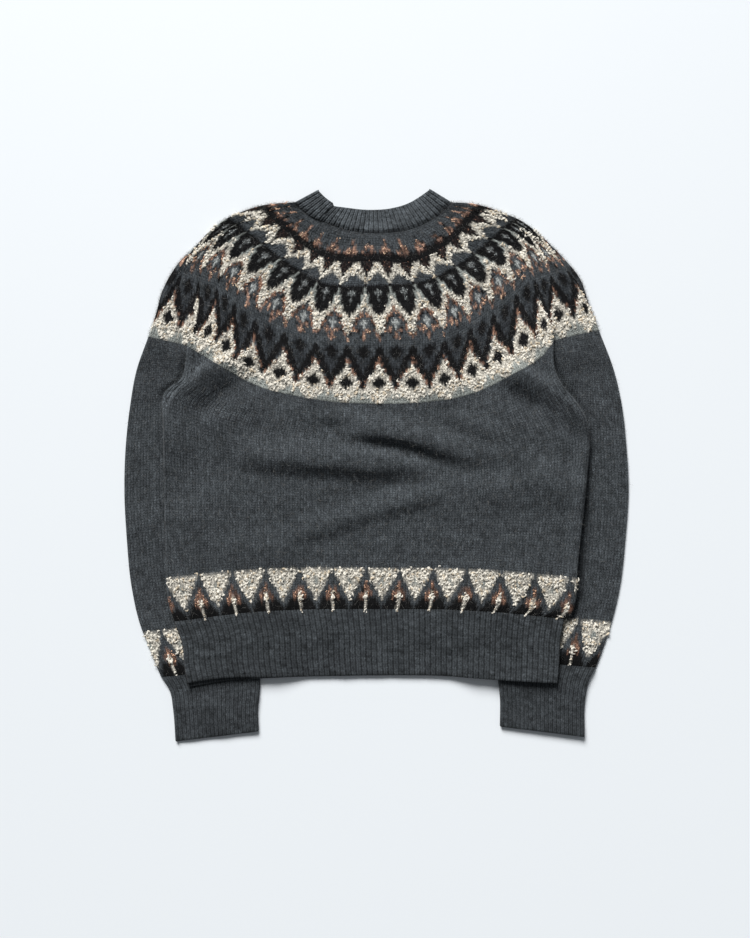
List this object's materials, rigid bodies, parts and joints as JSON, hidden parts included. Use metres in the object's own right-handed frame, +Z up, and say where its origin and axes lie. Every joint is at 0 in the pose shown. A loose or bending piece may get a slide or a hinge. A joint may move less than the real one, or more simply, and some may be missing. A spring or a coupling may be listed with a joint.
{
  "type": "nordic yoke sweater",
  "caption": "Heavy wool pullover with a round colourwork yoke and ribbed neck, hem and cuffs, laid flat with its back up and the sleeves folded down beneath the body.",
  "frame": {"origin": "on the table, under the middle of the front panel, which is the lower layer of the body", "axes": "+Y up the garment to the neck, +X across to the right sleeve as it lies, +Z up from the table through the back of the sweater"},
  "size_m": [0.6307, 0.6898, 0.0171],
  "materials": {
    "yoke_knit": "soft stranded wool knit in charcoal, black, cream, rust and silver",
    "body_knit": "brushed heather wool in stocking stitch, slightly fuzzy",
    "rib_knit": "heather wool in single rib, slightly fuzzy"
  },
  "bodies": {
    "root": {"yoke": "yoke_knit", "neckband": "rib_knit", "back_panel": "body_knit", "front_panel": "body_knit", "hem_rib": "rib_knit", "left_sleeve": "body_knit", "right_sleeve": "body_knit", "left_cuff": "rib_knit", "right_cuff": "rib_knit"}
  },
  "joints": []
}
